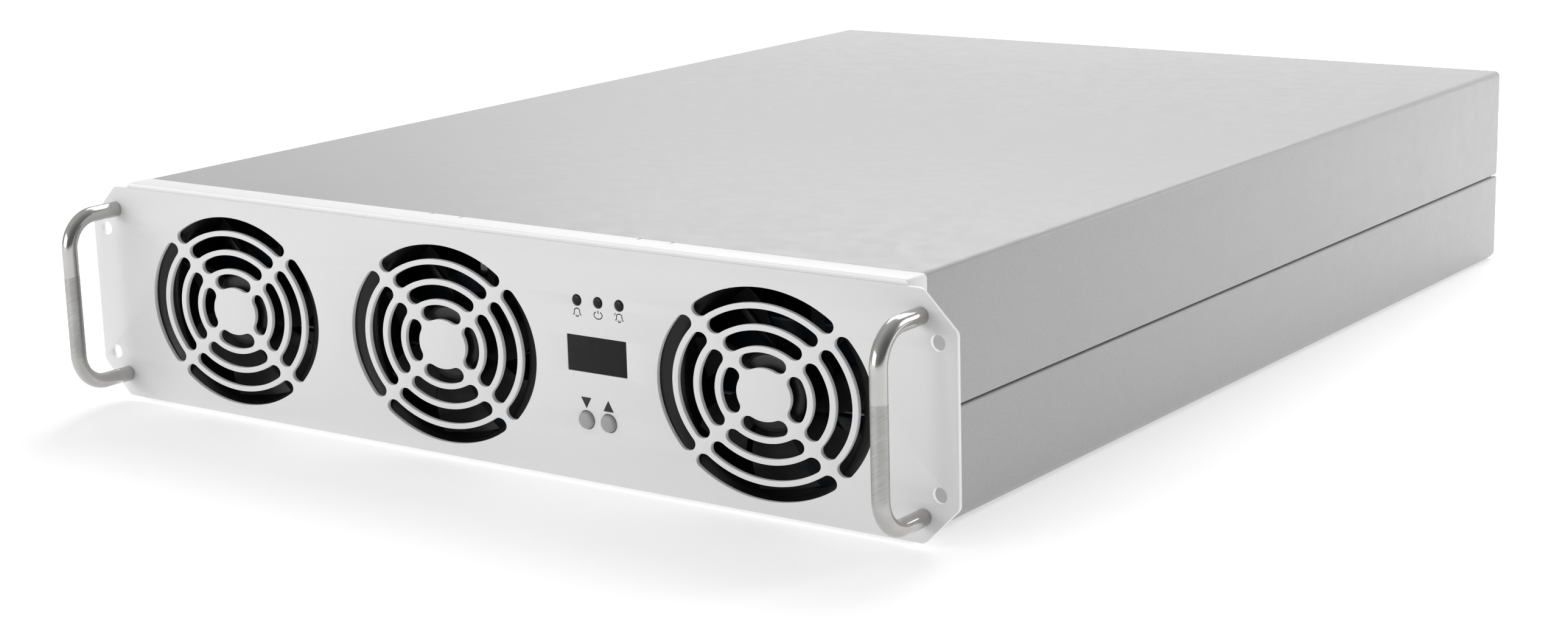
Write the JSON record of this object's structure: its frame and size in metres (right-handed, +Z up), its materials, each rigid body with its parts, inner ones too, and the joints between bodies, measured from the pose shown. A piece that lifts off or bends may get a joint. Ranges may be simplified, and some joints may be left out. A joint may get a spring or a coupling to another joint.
{
  "type": "server rack battery",
  "caption": "Rack-mount battery module with eared face plate, oval ring-slotted fan grilles, bow handles, screen, indicators and push buttons on a shallow sheet-metal case.",
  "frame": {"origin": "middle of the bounding box's bottom: on the centre plane, half way along the whole length, at the tray's underside", "axes": "+X right as seen from the front, +Y from the face plate back into the rack, +Z up"},
  "size_m": [0.4826, 0.655, 0.1056],
  "materials": {
    "face_white": "fine powder coat, satin",
    "bezel_white": "fine powder coat, satin",
    "case_gray": "fine-grained powder coat, satin",
    "handle_steel": "polished bends, brushed grip",
    "fastener_steel": "zinc plated",
    "fan_black": "moulded, semi-gloss",
    "copper": "bare copper",
    "brass_bare": "turned brass",
    "screen_dark": "smooth dark window",
    "lens_black": "polished",
    "button_gray": "moulded, satin",
    "board_green": "solder-masked laminate",
    "module_black": "moulded",
    "cell_blue": "insulating film over an aluminium can",
    "aluminium_bare": "rolled",
    "sheet_insulation": "fibre sheet",
    "plastic_red": "moulded",
    "plastic_black": "moulded",
    "toggle_white": "moulded"
  },
  "bodies": {
    "chassis": {"bezel_frame": "bezel_white", "board_pillars": "brass_bare", "board_screws": "fastener_steel", "board_spacers": "brass_bare", "breaker_body": "plastic_black", "cell_01": "cell_blue", "cell_02": "cell_blue", "cell_03": "cell_blue", "cell_04": "cell_blue", "cell_05": "cell_blue", "cell_06": "cell_blue", "cell_07": "cell_blue", "cell_08": "cell_blue", "cell_09": "cell_blue", "cell_10": "cell_blue", "cell_11": "cell_blue", "cell_12": "cell_blue", "cell_13": "cell_blue", "cell_14": "cell_blue", "cell_15": "cell_blue", "cell_16": "cell_blue", "cell_clamp": "aluminium_bare", "cell_links": "aluminium_bare", "clamp_bolts": "fastener_steel", "data_jacks": "module_black", "display_board": "board_green", "ear_plate": "face_white", "earth_stud": "fastener_steel", "fan_coils": "copper", "fan_fixings": "fastener_steel", "fan_frame_left": "fan_black", "fan_frame_middle": "fan_black", "fan_frame_right": "fan_black", "fuse": "toggle_white", "handle_left": "handle_steel", "handle_right": "handle_steel", "handle_screws": "fastener_steel", "heat_sink": "aluminium_bare", "indicator_lenses": "lens_black", "insulation_sheets": "sheet_insulation", "insulator_minus": "plastic_black", "insulator_plus": "plastic_red", "lower_tray": "case_gray", "management_board": "board_green", "minus_busbar": "copper", "plus_busbar": "copper", "rear_panel": "case_gray", "rear_screws": "fastener_steel", "screen_module": "module_black", "screen_window": "screen_dark", "terminal_minus": "brass_bare", "terminal_plus": "brass_bare", "toggle_pin": "fastener_steel", "top_cover": "case_gray"},
    "fan_left": {"fan_rotor_left": "fan_black"},
    "fan_middle": {"fan_rotor_middle": "fan_black"},
    "fan_right": {"fan_rotor_right": "fan_black"},
    "button_down": {"button_down": "button_gray"},
    "button_up": {"button_up": "button_gray"},
    "breaker_toggle": {"breaker_toggle": "toggle_white"}
  },
  "joints": [
    {"name": "fan_left_spin", "type": "hinge", "parent": "chassis", "child": "fan_left", "pos_m": [-0.1495, -0.27945, 0.0515], "axis": [0, 1, 0], "continuous": true},
    {"name": "fan_middle_spin", "type": "hinge", "parent": "chassis", "child": "fan_middle", "pos_m": [-0.0215, -0.27945, 0.0515], "axis": [0, 1, 0], "continuous": true},
    {"name": "fan_right_spin", "type": "hinge", "parent": "chassis", "child": "fan_right", "pos_m": [0.15, -0.27945, 0.0515], "axis": [0, 1, 0], "continuous": true},
    {"name": "button_down_press", "type": "slide", "parent": "chassis", "child": "button_down", "axis": [0, 1, 0], "range_m": [0, 0.0008], "stiffness_N_per_m": 2500, "springref_m": -0.0002},
    {"name": "button_up_press", "type": "slide", "parent": "chassis", "child": "button_up", "axis": [0, 1, 0], "range_m": [0, 0.0008], "stiffness_N_per_m": 2500, "springref_m": -0.0002},
    {"name": "breaker_toggle_tilt", "type": "hinge", "parent": "chassis", "child": "breaker_toggle", "pos_m": [0.08, 0.30355, 0.0527], "axis": [1, 0, 0], "range_deg": [-40, 0]}
  ]
}
